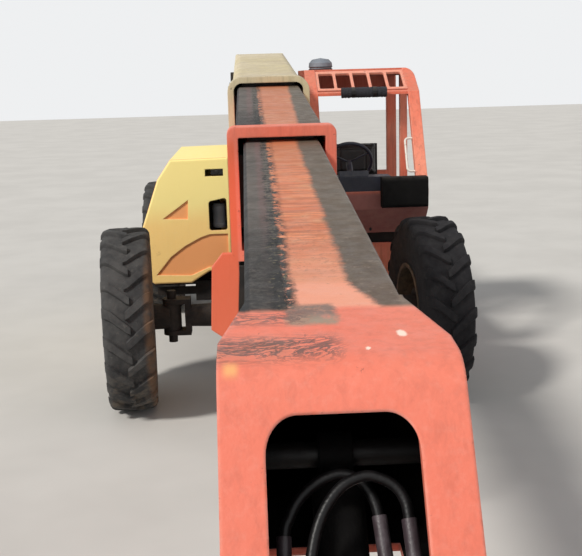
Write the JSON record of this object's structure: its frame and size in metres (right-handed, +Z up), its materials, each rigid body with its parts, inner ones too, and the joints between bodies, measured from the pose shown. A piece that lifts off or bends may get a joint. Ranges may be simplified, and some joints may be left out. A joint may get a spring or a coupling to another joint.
{
  "type": "telehandler",
  "caption": "Telehandler with a telescopic boom part way out, an open guard cab beside the boom, a side engine hood and a fork carriage on the gooseneck head.",
  "frame": {"origin": "on the ground under the middle of the machine's whole length and width", "axes": "+X to the machine's left (the cab side), -Y the way the boom and forks point, +Z up"},
  "size_m": [2.6444, 11.893, 2.5603],
  "materials": {
    "black_plastic": "black moulded plastic",
    "boom_cream": "pale cream paint, dusty",
    "cast_dark": "dusty cast iron",
    "chassis_dark": "dark grey paint, dusty and greasy",
    "fork_black": "black paint worn to steel",
    "grey_plastic": "grey plastic",
    "hood_tan": "moulded glass-fibre hood, faded yellow-tan",
    "hose_rubber": "black hydraulic hose with dull fittings",
    "lamp_red": "red lens",
    "machine_orange": "sun-bleached orange paint with scuffs",
    "pad_plastic": "worn black wear pad",
    "rim_paint": "cream paint, dusty brown",
    "rod_chrome": "hard chrome",
    "roll_cloth": "black rolled shade",
    "seat_vinyl": "black vinyl",
    "tyre_rubber": "dusty rubber"
  },
  "bodies": {
    "chassis": {"frame": "chassis_dark", "counterweight": "cast_dark", "engine": "cast_dark", "driveline": "cast_dark", "front_axle": "cast_dark", "rear_axle": "cast_dark", "cab_shell": "machine_orange", "cab_grille": "machine_orange", "seat_base": "black_plastic", "seat_cushion": "seat_vinyl", "dash": "grey_plastic", "cab_fender": "black_plastic", "beacon": "grey_plastic", "shade_roll": "roll_cloth", "tank": "machine_orange", "cab_step": "chassis_dark", "hood_wall": "chassis_dark", "tail_lamps": "lamp_red"},
    "hood": {"hood": "hood_tan"},
    "base_boom": {"base_boom": "boom_cream", "base_pads": "pad_plastic"},
    "mid_boom": {"mid_boom": "machine_orange", "mid_pads": "pad_plastic"},
    "fly_boom": {"fly_boom": "machine_orange", "head_hoses": "hose_rubber"},
    "lift_barrels": {"lift_barrels": "chassis_dark"},
    "lift_rods": {"lift_rods": "rod_chrome"},
    "level_barrel": {"level_barrel": "chassis_dark"},
    "level_rod": {"level_rod": "rod_chrome"},
    "fork_head": {"coupler": "machine_orange", "carriage": "fork_black", "forks": "fork_black"},
    "tilt_barrel": {"tilt_barrel": "chassis_dark"},
    "tilt_rod": {"tilt_rod": "rod_chrome"},
    "front_left_knuckle": {"front_left_knuckle": "cast_dark"},
    "front_left_wheel": {"front_left_tyre": "tyre_rubber", "front_left_rim": "rim_paint"},
    "front_right_knuckle": {"front_right_knuckle": "cast_dark"},
    "front_right_wheel": {"front_right_tyre": "tyre_rubber", "front_right_rim": "rim_paint"},
    "rear_left_knuckle": {"rear_left_knuckle": "cast_dark"},
    "rear_left_wheel": {"rear_left_tyre": "tyre_rubber", "rear_left_rim": "rim_paint"},
    "rear_right_knuckle": {"rear_right_knuckle": "cast_dark"},
    "rear_right_wheel": {"rear_right_tyre": "tyre_rubber", "rear_right_rim": "rim_paint"}
  },
  "joints": [
    {"name": "front_left_steer", "type": "hinge", "parent": "chassis", "child": "front_left_knuckle", "pos_m": [0.79, 1.62415, 0.66], "axis": [0, 0, 1], "range_deg": [-40.5, 29.5]},
    {"name": "front_left_roll", "type": "hinge", "parent": "front_left_knuckle", "child": "front_left_wheel", "pos_m": [1.0936, 1.65338, 0.66], "axis": [0.9954, 0.0958, 0], "continuous": true},
    {"name": "front_right_steer", "type": "hinge", "parent": "chassis", "child": "front_right_knuckle", "pos_m": [-0.79, 1.62415, 0.66], "axis": [0, 0, 1], "range_deg": [-40.5, 29.5]},
    {"name": "front_right_roll", "type": "hinge", "parent": "front_right_knuckle", "child": "front_right_wheel", "pos_m": [-1.0936, 1.59492, 0.66], "axis": [0.9954, 0.0958, 0], "continuous": true},
    {"name": "rear_left_steer", "type": "hinge", "parent": "chassis", "child": "rear_left_knuckle", "pos_m": [0.79, 4.87415, 0.66], "axis": [0, 0, 1], "range_deg": [-35, 35]},
    {"name": "rear_left_roll", "type": "hinge", "parent": "rear_left_knuckle", "child": "rear_left_wheel", "pos_m": [1.095, 4.87415, 0.66], "axis": [1, 0, 0], "continuous": true},
    {"name": "rear_right_steer", "type": "hinge", "parent": "chassis", "child": "rear_right_knuckle", "pos_m": [-0.79, 4.87415, 0.66], "axis": [0, 0, 1], "range_deg": [-35, 35]},
    {"name": "rear_right_roll", "type": "hinge", "parent": "rear_right_knuckle", "child": "rear_right_wheel", "pos_m": [-1.095, 4.87415, 0.66], "axis": [1, 0, 0], "continuous": true},
    {"name": "hood_lid", "type": "hinge", "parent": "chassis", "child": "hood", "pos_m": [-0.35, 3.22415, 1.722], "axis": [0, 1, 0], "range_deg": [0, 60]},
    {"name": "boom_lift", "type": "hinge", "parent": "chassis", "child": "base_boom", "pos_m": [-0.056, 5.27415, 2.25], "axis": [-1, 0, 0], "range_deg": [0, 74]},
    {"name": "mid_slide", "type": "slide", "parent": "base_boom", "child": "mid_boom", "axis": [0, -0.997, -0.0771], "range_m": [-2.1, 0.3]},
    {"name": "fly_slide", "type": "slide", "parent": "mid_boom", "child": "fly_boom", "axis": [0, -0.997, -0.0771], "range_m": [-2.1, 0.3]},
    {"name": "fork_tilt", "type": "hinge", "parent": "fly_boom", "child": "fork_head", "pos_m": [-0.056, -4.34272, 0.92993], "axis": [1, 0, 0], "range_deg": [-20, 80]},
    {"name": "lift_swing", "type": "hinge", "parent": "chassis", "child": "lift_barrels", "pos_m": [-0.056, 4.02415, 0.85], "axis": [1, 0, 0], "range_deg": [0, 10.35]},
    {"name": "lift_stroke", "type": "slide", "parent": "lift_barrels", "child": "lift_rods", "axis": [0, 0.4938, 0.8696], "range_m": [0, 0.8965]},
    {"name": "level_swing", "type": "hinge", "parent": "chassis", "child": "level_barrel", "pos_m": [-0.056, 4.62415, 1.3], "axis": [1, 0, 0], "range_deg": [0, 19.44]},
    {"name": "level_stroke", "type": "slide", "parent": "level_barrel", "child": "level_rod", "axis": [0, 0.5486, 0.8361], "range_m": [0, 0.3734]},
    {"name": "tilt_swing", "type": "hinge", "parent": "fly_boom", "child": "tilt_barrel", "pos_m": [-0.056, -3.76661, 1.65148], "axis": [1, 0, 0], "range_deg": [-6.9, 2.1]},
    {"name": "tilt_stroke", "type": "slide", "parent": "tilt_barrel", "child": "tilt_rod", "axis": [0, -0.7094, -0.7048], "range_m": [-0.0547, 0.2096]}
  ],
  "couplings": [
    {"joint": "front_right_steer", "follows": "front_left_steer", "ratio": 1},
    {"joint": "rear_right_steer", "follows": "rear_left_steer", "ratio": 1},
    {"joint": "fly_slide", "follows": "mid_slide", "ratio": 1},
    {"joint": "lift_swing", "follows": "boom_lift", "ratio": 0.13309},
    {"joint": "lift_stroke", "follows": "boom_lift", "m_per_rad": 0.69103},
    {"joint": "level_swing", "follows": "boom_lift", "ratio": 0.25595},
    {"joint": "level_stroke", "follows": "boom_lift", "m_per_rad": 0.28604},
    {"joint": "tilt_swing", "follows": "fork_tilt", "ratio": -0.08},
    {"joint": "tilt_stroke", "follows": "fork_tilt", "m_per_rad": 0.148}
  ]
}
